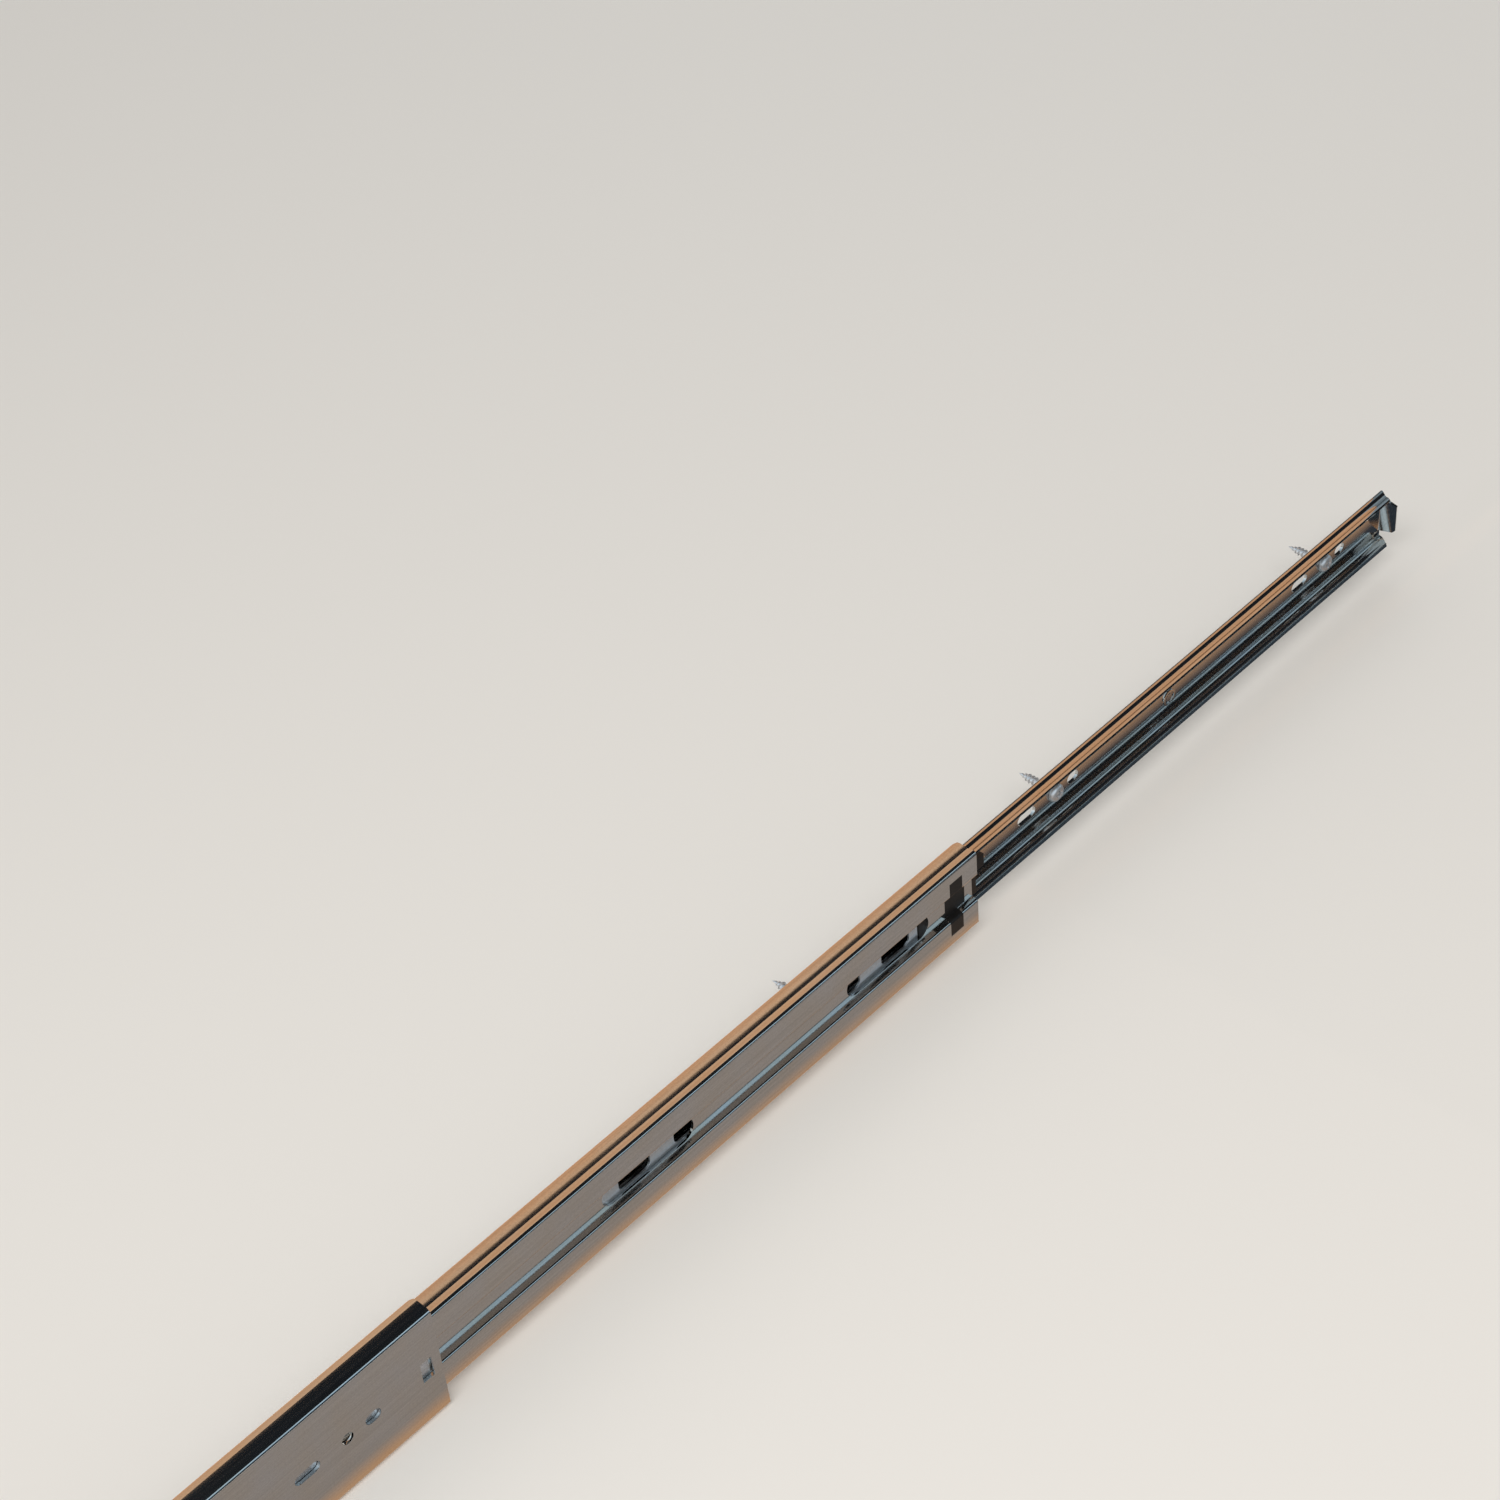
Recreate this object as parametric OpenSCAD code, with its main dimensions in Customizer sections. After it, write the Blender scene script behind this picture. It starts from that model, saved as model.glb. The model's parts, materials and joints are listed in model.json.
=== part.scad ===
// Three-section, full-extension ball-bearing drawer slide, drawn fully open.
// X runs in the opening direction, Y from the cabinet to the drawer, Z up.
// The origin is on the cabinet face, at mid-height, at the cabinet member's front end.

/* [Slide] */
// Length of the cabinet member
slide_l = 500; // [360:10:700]
// Travel of the middle member in the cabinet member, and of the drawer member in the middle one
stage_travel = 250; // [150:5:270]
// Height of the cabinet member over its flanges
slide_h = 45; // [40:0.5:58]
// Thickness from the cabinet face to the drawer face
slide_t = 12.7; // [12.2:0.1:16]
// How far each member's rear end stops short of the one around it, when closed
rear_setback = 9; // [7:0.5:14]
// How far the drawer member's front end stays ahead of the others, when closed
front_proud = 4; // [4:0.5:8]

/* [Sheet and bends] */
// Sheet of the cabinet member
outer_sheet = 1.2; // [1:0.1:1.5]
// Sheet of the middle member
middle_sheet = 1.0; // [0.8:0.1:1.2]
// Sheet of the drawer member
inner_sheet = 1.2; // [1:0.1:1.4]
// Sheet of the ball cages
cage_sheet = 0.7; // [0.5:0.1:0.8]
// Gap between the cabinet member's web and the middle member's raised bands
web_gap = 1.0; // [0.9:0.1:1.6]
// Bend radius of the cabinet member's shoulders, to the middle of the sheet
outer_bend_r = 1.6; // [1.2:0.1:2]
// Bend radius of the other shoulders, to the middle of the sheet
bend_r = 0.8; // [0.7:0.1:1]

/* [Balls] */
// Diameter of the balls
ball_d = 5; // [4:0.1:6]
// Clearance between a ball and each groove
ball_clear = 0.05; // [0.03:0.01:0.1]
// Spacing of the balls along a cage
ball_pitch = 21; // [12:1:40]
// Length of the windows in the cages' webs
window_l = 14; // [8:1:20]
// Spacing of the windows
window_pitch = 24.8; // [22:0.2:40]
// Depth of the ball grooves rolled into the middle member
middle_groove = 0.6; // [0.4:0.1:0.8]
// Depth of the ball grooves rolled into the drawer member
inner_groove = 0.6; // [0.4:0.1:0.8]

/* [Middle member] */
// Height of the recessed channel between the raised bands
recess_h = 13.4; // [12.4:0.1:16]
// Depth of the recessed channel
recess_d = 2.6; // [2:0.1:2.8]
// Length of the access slots
access_l = 41; // [30:1:50]
// Width of the access slots
access_w = 9.4; // [6:0.2:9.4]
// Distance from the front end to the middle of the first access slot
access_first = 43; // [40:1:60]
// Spacing of the access slots
access_pitch = 114; // [90:1:160]

/* [Drawer member] */
// Flat of the drawer member's flanges, between the ball grooves and the curled edges
inner_flat = 0.3; // [0.1:0.1:0.5]
// Half height of the front tab
tab_half_h = 7; // [6:0.1:7.4]
// Length of the front tab's bent leaf
tab_leaf = 6.2; // [5:0.1:7]
// Angle of the front tab
tab_angle = 70; // [45:1:85]
// How far the flanges' front ends slant back towards their free edges
end_slant = 3.4; // [1:0.1:5]
// Distance from the front end to the embossed ring
ring_x = 132; // [100:1:150]
// Outer diameter of the embossed ring
ring_d = 6.6; // [5:0.2:8]

/* [Screw holes] */
// Diameter of the screw holes, and width of the slots
hole_d = 4.4; // [4:0.1:5]
// Diameter of the system holes in the cabinet member
system_hole_d = 6.4; // [5:0.1:6.6]
// End-to-end length of the long slots
long_slot_l = 9.6; // [8:0.2:12]
// End-to-end length of the short slots
short_slot_l = 6; // [5:0.2:7]
// Screw hole groups of the cabinet member, from its front end
outer_groups = [37, 197, 293, 453];
// Screw hole groups of the drawer member, from its front end
inner_groups = [37, 197, 325, 453];
// From a group's screw hole back to the middle of its long slot
long_slot_back = 15.5; // [13:0.5:18]
// From a group's screw hole forward to the middle of its short slot
short_slot_ahead = 10; // [8:0.5:12]
// From a group's screw hole back to its system hole
system_hole_back = 32; // [24:1:40]

/* [Stops and fasteners] */
// Width of the front clip's bar
clip_bar_w = 6.2; // [5:0.1:8]
// Distance from the middle member's front end to the clip's bar
clip_bar_x = 7.8; // [7:0.1:9]
// Height of the front clip's bar
clip_bar_h = 23.8; // [21:0.1:27]
// How far the clip's block reaches ahead of its bar, in the recessed channel
clip_block = 3.8; // [2:0.1:4.4]
// From the middle member's front end to the front of its ball cage, when open
cage_setback = 27; // [18:1:40]
// Diameter of the rivets' shanks
rivet_d = 3; // [2.5:0.1:3.5]
// Diameter of the rivets' heads
rivet_head_d = 5.6; // [5:0.1:6.5]
// Diameter of the drawer screws' heads
screw_head_d = 7; // [6.4:0.1:7.6]
// Height of the drawer screws' heads
screw_head_h = 2.1; // [1.8:0.1:2.3]
// Diameter of the drawer screws' shanks
screw_d = 3.5; // [3:0.1:4]
// Length of the drawer screws under the head
screw_l = 16; // [12:1:18]

/* [Hidden] */

arc_step = 7.5;          // degrees of bend between two points of an outline
bore_fn = 48;
stop_gap = 0.5;          // between a stop and what it stops, with the slide open
fit_gap = 0.15;          // between parts that lie side by side without touching
ball_r = ball_d / 2;

// Lengths and places along X, fully open
middle_l = slide_l - rear_setback;
inner_l = middle_l - rear_setback + front_proud;
middle_front = stage_travel;
middle_rear = middle_front - middle_l;
inner_front = 2 * stage_travel;
inner_rear = inner_front - inner_l;

// Heights, from the cabinet member inwards: sheet, ball, groove
race_r = ball_r + 2 * ball_clear;        // curled flanges, around the balls
groove_r = ball_r * 1.08;                // rolled grooves, under the balls
outer_top = slide_h / 2 - outer_sheet / 2;
outer_row_z = slide_h / 2 - outer_sheet - ball_clear - ball_r;
middle_groove_z = outer_row_z - ball_r - ball_clear;
middle_h = 2 * (middle_groove_z + middle_groove);
middle_top = middle_h / 2 - middle_sheet / 2;
lip_drop = 0.2;                          // the lips lie just below the shoulders
inner_row_z = middle_h / 2 - lip_drop - middle_sheet - ball_clear - ball_r;
inner_groove_z = inner_row_z - ball_r - ball_clear;
inner_h = 2 * (inner_groove_z + inner_groove);
inner_top = inner_h / 2 - inner_sheet / 2;

// Angle of the blends at both sides of a groove of depth d
function blend_angle(d, r) = acos(1 - d / r);
blend = 0.6;                             // bend radius beside the ball grooves
shoulder_flat = 0.2;                     // flat between a shoulder and its groove
middle_groove_r = groove_r + middle_sheet / 2;
inner_groove_r = groove_r + inner_sheet / 2;
middle_groove_half = (middle_groove_r + blend) * sin(blend_angle(middle_groove, middle_groove_r + blend));
inner_groove_half = (inner_groove_r + blend) * sin(blend_angle(inner_groove, inner_groove_r + blend));

// Depths along Y
band_y = outer_sheet + web_gap;          // cabinet side of the raised bands
band_mid = band_y + middle_sheet / 2;
recess_mid = band_mid + recess_d;
recess_in = recess_mid + middle_sheet / 2;
outer_row_y = band_mid + bend_r + shoulder_flat + middle_groove_half;
inner_row_d = inner_sheet / 2 + bend_r + shoulder_flat + inner_groove_half;
inner_row_y = slide_t - inner_row_d;
inner_web_in = slide_t - inner_sheet;

// ---- rolled sheet outlines -------------------------------------------------
// A bend is [centre y, centre z, radius to the middle of the sheet, first angle, last angle].
// An outline follows its bends in turn, and what lies between two bends is straight.

function turn(b) = b[4] > b[3] ? 1 : -1;
function steps(b) = ceil(abs(b[4] - b[3]) / arc_step);
function bend_angle(b, i) = steps(b) == 0 ? b[3] : b[3] + (b[4] - b[3]) * i / steps(b);
// Points along a bend, moved by s to the left of the way it is followed
function bend_side(b, s) = [
    for (i = [0:steps(b)])
        let (r = b[2] - s * turn(b), a = bend_angle(b, i))
            [b[0] + r * cos(a), b[1] + r * sin(a)]
];
function side(bends, s) = [for (b = bends) each bend_side(b, s)];
function reversed(list) = [for (i = [len(list) - 1:-1:0]) list[i]];
// The same bends below mid-height, followed the other way
function lower(bends) = [for (b = reversed(bends)) [b[0], -b[1], b[2], -b[4], -b[3]]];
function both(bends) = concat(lower(bends), bends);
function sheet(bends, t) = concat(side(bends, t / 2), reversed(side(bends, -t / 2)));

// A shoulder from the web to a flange whose middle is at height z
function shoulder(web, z, r) = [web + r, z - r, r, 180, 90];
// A straight end of a flange
function flange_end(y, z) = [y, z, 0, 90, 90];
// Groove with a blend before it; its floor's middle is d below z
function groove_in(y, z, d, r) =
    let (a = blend_angle(d, r + blend)) [
        [y - (r + blend) * sin(a), z - blend, blend, 90, 90 - a],
        [y, z - d + r, r, 270 - a, 270]
    ];
// From a groove's floor back up to z
function groove_out(y, z, d, r) =
    let (a = blend_angle(d, r + blend)) [
        [y, z - d + r, r, 270, 270 + a],
        [y + (r + blend) * sin(a), z - blend, blend, 90 + a, 90]
    ];
// A step in the web, from depth y0 out to depth y1, that ends at height z1
step_angle = 78;
function step_rise(y0, y1, r) =
    2 * r * sin(step_angle)
    + (y0 - y1 - 2 * r * (1 - cos(step_angle))) / tan(step_angle);
function web_step(y0, y1, z1, r) = [
    [y0 - r, z1 - step_rise(y0, y1, r), r, 0, step_angle],
    [y1 + r, z1, r, 180 + step_angle, 180]
];
// Slope of the line that leaves a groove and runs onto a curled lip
function tangent_angle(groove, lip) =
    let (dy = lip[0] - groove[0], dz = groove[1] - lip[1])
        asin((groove[2] + lip[2]) / norm([dy, dz])) - atan2(dz, dy);

outer_lip_r = race_r + outer_sheet / 2;
outer_bends = [
    shoulder(outer_sheet / 2, outer_top, outer_bend_r),
    [outer_row_y, outer_top - outer_lip_r, outer_lip_r, 90, 20]
];

step_r = 0.7;
middle_step = web_step(recess_mid, band_mid, recess_h / 2, step_r);
middle_groove_c = [
    outer_row_y, middle_top - middle_groove + middle_groove_r, middle_groove_r
];
middle_lip_c = [
    inner_row_y, middle_top - lip_drop - race_r - middle_sheet / 2, race_r + middle_sheet / 2
];
middle_slope = tangent_angle(middle_groove_c, middle_lip_c);
middle_entry = groove_in(outer_row_y, middle_top, middle_groove, middle_groove_r);
middle_bends = [
    each middle_step,
    shoulder(band_mid, middle_top, bend_r),
    middle_entry[0],
    [each middle_groove_c, middle_entry[1][3], 270 + middle_slope],
    [each middle_lip_c, 90 + middle_slope, 35]
];

// The drawer member is drawn from the drawer face and turned over
inner_curl_r = 1.4;
inner_curl = 25;
inner_curl_d = inner_row_d + inner_groove_half + inner_flat;
inner_depth = inner_curl_d + (inner_curl_r + inner_sheet / 2) * sin(inner_curl);
inner_bends = [
    shoulder(inner_sheet / 2, inner_top, bend_r),
    each groove_in(inner_row_d, inner_top, inner_groove, inner_groove_r),
    each groove_out(inner_row_d, inner_top, inner_groove, inner_groove_r),
    [inner_curl_d, inner_top - inner_curl_r, inner_curl_r, 90, 90 - inner_curl]
];

outer_cage_mid = outer_sheet + fit_gap + cage_sheet / 2;
cage_bend_r = 0.9;
leg_margin = 0.8;
outer_cage_bends = [
    shoulder(outer_cage_mid, outer_row_z, cage_bend_r),
    flange_end(outer_row_y + ball_r + leg_margin, outer_row_z)
];
inner_cage_band = band_y + middle_sheet + fit_gap + cage_sheet / 2;
inner_cage_floor = recess_in + fit_gap + cage_sheet / 2;
inner_cage_bends = [
    each web_step(inner_cage_floor, inner_cage_band, recess_h / 2 + middle_sheet + fit_gap, step_r),
    shoulder(inner_cage_band, inner_row_z, cage_bend_r),
    flange_end(inner_row_y + ball_r + leg_margin, inner_row_z)
];

// ---- shared shapes -----------------------------------------------------------
// Runs an outline in Y and Z along X
module run_x(x0, x1) translate([x0, 0, 0]) rotate([90, 0, 90]) linear_extrude(x1 - x0) children();

// A hole through Y
module hole_y(x, z, d, y0, y1)
    translate([x, y1, z]) rotate([90, 0, 0]) cylinder(d = d, h = y1 - y0, $fn = bore_fn);

// A slot through Y that runs along X
module slot_y(x, z, length, width, y0, y1) {
    for (s = [-1, 1]) hole_y(x + s * (length - width) / 2, z, width, y0, y1);
    translate([x - (length - width) / 2, y0, z - width / 2])
        cube([length - width, y1 - y0, width]);
}

// A box given by its lowest and highest corners
module box(low, high) translate(low) cube(high - low);

// Groups whose long slot is clear of the member's rear end
function fitting(groups, length) =
    [for (g = groups) if (g + long_slot_back + long_slot_l < length - rear_setback) g];

// The screw hole, short slot and long slot of one group
module hole_group(x, y0, y1) {
    hole_y(x, 0, hole_d, y0, y1);
    slot_y(x + short_slot_ahead, 0, short_slot_l, hole_d, y0, y1);
    slot_y(x - long_slot_back, 0, long_slot_l, hole_d, y0, y1);
}

// Takes the corners off a member's free edges at one end
module end_corners(x, edge_y, size, top)
    for (s = [-1, 1])
        translate([x, edge_y, s * top])
            rotate([0, 0, 45])
                cube([size * sqrt(2), size * sqrt(2), top], center = true);

module balls(x0, x1, y, z) {
    count = floor((x1 - x0 - 2 * (ball_r + leg_margin)) / ball_pitch) + 1;
    start = (x0 + x1 - (count - 1) * ball_pitch) / 2;
    for (i = [0:count - 1]) translate([start + i * ball_pitch, y, z]) children();
}
module ball() sphere(r = ball_r, $fn = bore_fn);
module ball_hole() cylinder(r = ball_r + ball_clear, h = 4 * cage_sheet, center = true, $fn = bore_fn);

// ---- cabinet member ------------------------------------------------------------
outer_corner = 2.2;
stop_tab_t = outer_sheet;
stop_tab_half = 4.2;
outer_stop_x = -3.2;                      // back of the front stop tab
outer_stop_y = recess_mid - middle_sheet / 2 - 2 * fit_gap;
bumper_l = rear_setback - 1;
outer_bumper_rivet_x = -slide_l + bumper_l / 2;
middle_bumper_rivet_x = middle_rear + bumper_l / 2;

module outer_member() color("gainsboro") {
    difference() {
        run_x(-slide_l, 0) polygon(sheet(both(outer_bends), outer_sheet));
        for (g = fitting(outer_groups, slide_l)) {
            hole_group(-g, -1, outer_sheet + 1);
            if (g + system_hole_back + long_slot_l < slide_l - rear_setback)
                hole_y(-g - system_hole_back, 0, system_hole_d, -1, outer_sheet + 1);
        }
        hole_y(outer_bumper_rivet_x, 0, rivet_d, -1, outer_sheet + 1);
        // window that the stop tab is lanced from
        box([outer_stop_x - outer_stop_y, -1, -stop_tab_half],
            [outer_stop_x, outer_sheet + 1, stop_tab_half]);
        for (x = [-slide_l, 0])
            end_corners(x, outer_row_y + outer_lip_r + outer_sheet / 2, outer_corner, slide_h / 2);
    }
    box([outer_stop_x, outer_sheet, -stop_tab_half],
        [outer_stop_x + stop_tab_t, outer_stop_y, stop_tab_half]);
}

bumper_half_h = outer_row_z - ball_r - 1;
bumper_lip_r = 0.7;
rivet_head_h = 1.1;
rivet_head_room = 0.6;                    // of a counterbore, over the rivet's head
module outer_rear_bumper() color([0.15, 0.15, 0.16]) difference() {
    union() {
        box([-slide_l, outer_sheet, -bumper_half_h],
            [-slide_l + bumper_l, inner_row_y, bumper_half_h]);
        // soft lips that the middle member's end presses on
        for (s = [-1, 1])
            translate([-slide_l + bumper_l, outer_row_y, s * (bumper_half_h - 3)])
                rotate([90, 0, 0]) cylinder(r = bumper_lip_r, h = 4, center = true, $fn = 24);
    }
    hole_y(outer_bumper_rivet_x, 0, rivet_d, 0, inner_row_y + 1);
    hole_y(outer_bumper_rivet_x, 0, rivet_head_d + rivet_head_room, outer_row_y, inner_row_y + 1);
}

// A rivet through a bumper and a web; the head sits on the bumper's counterbore
module rivet(x, y0, seat) {
    hole_y(x, 0, rivet_d, y0, seat);
    difference() {
        hole_y(x, 0, rivet_head_d, seat, seat + rivet_head_h);
        hole_y(x, 0, rivet_d * 0.6, seat + 0.5, seat + 2);
    }
}
module outer_bumper_rivet() color("silver") rivet(outer_bumper_rivet_x, 0, outer_row_y);

// ---- outer balls ---------------------------------------------------------------
outer_cage_front = outer_stop_x - stop_gap;
middle_stop_x = middle_rear + bumper_l;   // back of the middle member's stop tab
outer_cage_rear = middle_stop_x + stop_tab_t + stop_gap;
window_rim = 4.2;                         // from a cage's end to its first window
window_half_h = 4;
window_r = 2.4;

// A row of windows with round corners, from a cage's front end backwards
module cage_windows(x0, x1, floor_y) {
    count = floor((x1 - x0 - 2 * window_rim - window_l) / window_pitch) + 1;
    for (i = [0:count - 1]) {
        x = x1 - window_rim - window_l / 2 - i * window_pitch;
        for (s = [-1, 1])
            slot_y(x, s * (window_half_h - window_r), window_l, 2 * window_r, floor_y - 2, floor_y + 2);
        box([x - window_l / 2, floor_y - 2, window_r - window_half_h],
            [x + window_l / 2, floor_y + 2, window_half_h - window_r]);
    }
}

module outer_ball_cage() color("lightgray") difference() {
    run_x(outer_cage_rear, outer_cage_front) polygon(sheet(both(outer_cage_bends), cage_sheet));
    for (s = [-1, 1]) balls(outer_cage_rear, outer_cage_front, outer_row_y, s * outer_row_z) ball_hole();
    cage_windows(outer_cage_rear, outer_cage_front, outer_cage_mid);
}
module outer_balls_upper() color("white")
    balls(outer_cage_rear, outer_cage_front, outer_row_y, outer_row_z) ball();
module outer_balls_lower() color("white")
    balls(outer_cage_rear, outer_cage_front, outer_row_y, -outer_row_z) ball();

// ---- middle member ---------------------------------------------------------------
clip_bar_front = middle_front - clip_bar_x;
clip_bar_rear = clip_bar_front - clip_bar_w;
clip_block_half = recess_h / 2 - 1.9;
clip_nose = front_proud - 0.6;            // the clip's body ahead of the middle member
clip_wing = 4.8;
clip_wing_y = 5;                          // clears the front tab when closed
clip_wing_z = 5;
clip_play = 0.1;
middle_corner = 1.6;
access_count = floor((middle_l - access_first - access_l) / access_pitch) + 1;

module middle_member() color("silver") {
    difference() {
        run_x(middle_rear, middle_front) polygon(sheet(both(middle_bends), middle_sheet));
        for (i = [0:access_count - 1])
            slot_y(middle_front - access_first - i * access_pitch, 0,
                access_l, access_w, band_y, recess_in + 1);
        box([clip_bar_rear - clip_play, 0, -clip_bar_h / 2 - clip_play],
            [clip_bar_front + clip_play, recess_in + 1, clip_bar_h / 2 + clip_play]);
        box([clip_bar_front - 1, 0, -clip_block_half - clip_play],
            [clip_bar_front + clip_block + clip_play, recess_in + 1, clip_block_half + clip_play]);
        hole_y(middle_bumper_rivet_x, 0, rivet_d, band_y, recess_in + 1);
        // window that the stop tab is lanced from
        box([middle_stop_x + stop_tab_t, band_y, -stop_tab_half],
            [middle_stop_x + stop_tab_t + recess_mid - outer_sheet, recess_in + 1, stop_tab_half]);
        for (x = [middle_front, middle_rear])
            end_corners(x, middle_lip_c[0] + middle_lip_c[2], middle_corner, middle_h / 2);
    }
    // rear stop tab for the outer cage
    box([middle_stop_x, outer_sheet + 2 * fit_gap, -stop_tab_half],
        [middle_stop_x + stop_tab_t, recess_mid, stop_tab_half]);
}

// Half outline of the clip's body, on the drawer side of the web
clip_body_y = recess_in + 2.8;
clip_in_z = inner_h / 2 - inner_sheet - inner_groove - 2 * fit_gap;
clip_ledge_y = slide_t - inner_depth - 4 * fit_gap;
clip_half = concat(
    [[clip_body_y, 0], [recess_in, 0]],
    side(middle_step, -middle_sheet / 2),
    [[band_y + middle_sheet, clip_bar_h / 2], [clip_ledge_y, clip_bar_h / 2],
     [clip_ledge_y, clip_in_z], [clip_body_y, clip_in_z]]
);
clip_body_rear = middle_front - cage_setback + stop_gap;
clip_body_front = middle_front - 1;

module middle_front_clip() color([0.13, 0.12, 0.12]) {
    intersection() {
        run_x(clip_bar_rear, clip_bar_front) polygon(sheet(both(middle_bends), middle_sheet));
        box([clip_bar_rear, 0, -clip_bar_h / 2], [clip_bar_front, recess_in + 1, clip_bar_h / 2]);
    }
    box([clip_bar_front - 1, recess_mid - middle_sheet / 2, -clip_block_half],
        [clip_bar_front + clip_block, recess_in + 1, clip_block_half]);
    // nose in front of the web, and a wing above it
    box([clip_body_front - 1, recess_in, -recess_h / 2],
        [middle_front + clip_nose, clip_body_y, recess_h / 2]);
    intersection() {
        run_x(clip_body_front - 1, middle_front + clip_wing) polygon(clip_half);
        box([clip_body_front - 1, 0, clip_wing_z],
            [middle_front + clip_wing, clip_wing_y, slide_h / 2]);
    }
    run_x(clip_body_rear, clip_body_front)
        for (s = [0, 1]) mirror([0, s]) polygon(clip_half);
}

middle_bumper_half = inner_h / 2 - inner_sheet - inner_groove - 1;
module middle_rear_bumper() color([0.15, 0.15, 0.16]) difference() {
    union() {
        box([middle_rear, recess_in, -middle_bumper_half],
            [middle_rear + bumper_l, slide_t - 1, middle_bumper_half]);
        for (s = [-1, 1])
            translate([middle_rear + bumper_l, inner_row_y, s * (middle_bumper_half - 1.5)])
                rotate([90, 0, 0]) cylinder(r = bumper_lip_r, h = 3, center = true, $fn = 24);
    }
    hole_y(middle_bumper_rivet_x, 0, rivet_d, 0, slide_t);
    hole_y(middle_bumper_rivet_x, 0, rivet_head_d + rivet_head_room, inner_row_y, slide_t);
}
module middle_bumper_rivet() color("silver")
    rivet(middle_bumper_rivet_x, recess_mid - middle_sheet / 2, inner_row_y);

// ---- inner balls ---------------------------------------------------------------
inner_stop_x = inner_rear + 2;
inner_cage_rear = inner_stop_x + inner_sheet + stop_gap;
inner_cage_front = clip_body_rear - stop_gap;

module inner_ball_cage() color("lightgray") difference() {
    run_x(inner_cage_rear, inner_cage_front) polygon(sheet(both(inner_cage_bends), cage_sheet));
    for (s = [-1, 1]) balls(inner_cage_rear, inner_cage_front, inner_row_y, s * inner_row_z) ball_hole();
    cage_windows(inner_cage_rear, inner_cage_front, inner_cage_floor);
}
module inner_balls_upper() color("white")
    balls(inner_cage_rear, inner_cage_front, inner_row_y, inner_row_z) ball();
module inner_balls_lower() color("white")
    balls(inner_cage_rear, inner_cage_front, inner_row_y, -inner_row_z) ball();

// ---- drawer member ---------------------------------------------------------------
tab_bend_r = 1.2;
tab_root = -1.6;                          // start of the bend, from the flanges' front end
tab_relief = 0.8;
tab_slant = 30;
tab_corner = 1.6;
inner_corner = 1.8;
ring_z = -1.2;
ring_rim = 0.8;
ring_gap = 0.9;
inner_web_mid = slide_t - inner_sheet / 2;
// The tab's outline, seen from above, followed from the web towards its free end
tab_path = [
    [inner_front + tab_root - 1, inner_web_mid, 0, 90, 90],
    [inner_front + tab_root, inner_web_mid - tab_bend_r, tab_bend_r, 90, 90 - tab_angle],
    [inner_front + tab_root + tab_bend_r * sin(tab_angle) + tab_leaf * cos(tab_angle),
     inner_web_mid - tab_bend_r * (1 - cos(tab_angle)) - tab_leaf * sin(tab_angle),
     0, 90 - tab_angle, 90 - tab_angle]
];

// Cuts both flanges' front ends on the slant
module slanted_ends()
    for (z = [-inner_h / 2 - 1, inner_h / 2 - inner_groove - inner_sheet - 1])
        translate([0, 0, z]) linear_extrude(inner_sheet + inner_groove + 2) polygon([
            [inner_front, inner_web_in],
            [inner_front - end_slant, slide_t - inner_depth - 0.5],
            [inner_front + 1, slide_t - inner_depth - 0.5],
            [inner_front + 1, inner_web_in]
        ]);

module front_tab() difference() {
    translate([0, 0, -tab_half_h]) linear_extrude(2 * tab_half_h) polygon(sheet(tab_path, inner_sheet));
    // the leaf's upper edge slants down to its free end, and its lower corner is taken off
    translate([tab_path[2][0], tab_path[2][1], tab_half_h])
        rotate([0, 0, -tab_angle]) rotate([0, tab_slant, 0])
            cube([3 * tab_leaf, 4, 2 * tab_corner], center = true);
    translate([tab_path[2][0], tab_path[2][1], -tab_half_h])
        rotate([0, 0, -tab_angle]) rotate([0, 45, 0]) cube([tab_corner, 4, tab_corner], center = true);
}

module inner_member() color("gainsboro") {
    difference() {
        run_x(inner_rear, inner_front)
            translate([slide_t, 0]) mirror([1, 0]) polygon(sheet(both(inner_bends), inner_sheet));
        for (g = fitting(inner_groups, inner_l))
            hole_group(inner_front - g, inner_web_in - 1, slide_t + 1);
        // window that the rear stop tab is lanced from
        box([inner_stop_x + inner_sheet, inner_web_in - 1, -stop_tab_half],
            [inner_stop_x + inner_sheet + 5, slide_t + 1, stop_tab_half]);
        end_corners(inner_rear, slide_t - inner_depth, inner_corner, inner_h / 2);
        slanted_ends();
        // the web's middle is bent out as the tab, with a relief cut on each side
        box([inner_front + tab_root, inner_web_in - 1, -tab_half_h],
            [inner_front + 1, slide_t + 1, tab_half_h]);
        for (z = [-tab_half_h - tab_relief, tab_half_h])
            box([inner_front + tab_root - 2, inner_web_in - 1, z],
                [inner_front + 1, slide_t + 1, z + tab_relief]);
    }
    front_tab();
    // rear stop tab for the inner cage
    box([inner_stop_x, recess_in + 2 * fit_gap, -stop_tab_half],
        [inner_stop_x + inner_sheet, inner_web_in, stop_tab_half]);
    // embossed ring
    difference() {
        hole_y(inner_front - ring_x, ring_z, ring_d, inner_web_in - 0.5, inner_web_in);
        hole_y(inner_front - ring_x, ring_z, ring_d - 2 * ring_rim, inner_web_in - 1, inner_web_in);
    }
    hole_y(inner_front - ring_x, ring_z, ring_d - 2 * (ring_rim + ring_gap),
        inner_web_in - 0.3, inner_web_in);
}

// ---- drawer screws ---------------------------------------------------------------
screw_groups = fitting(inner_groups, inner_l);
screw_places = [
    for (i = [0:len(screw_groups) - 1])
        if (i < 2 || i == len(screw_groups) - 1) inner_front - screw_groups[i]
];
screw_point_l = 4;
screw_rim_h = 0.45 * screw_head_h;
screw_crown_d = 0.62 * screw_head_d;
cross_w = 1.1;
cross_l = 3.8;
cross_depth = 1.4;

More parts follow.
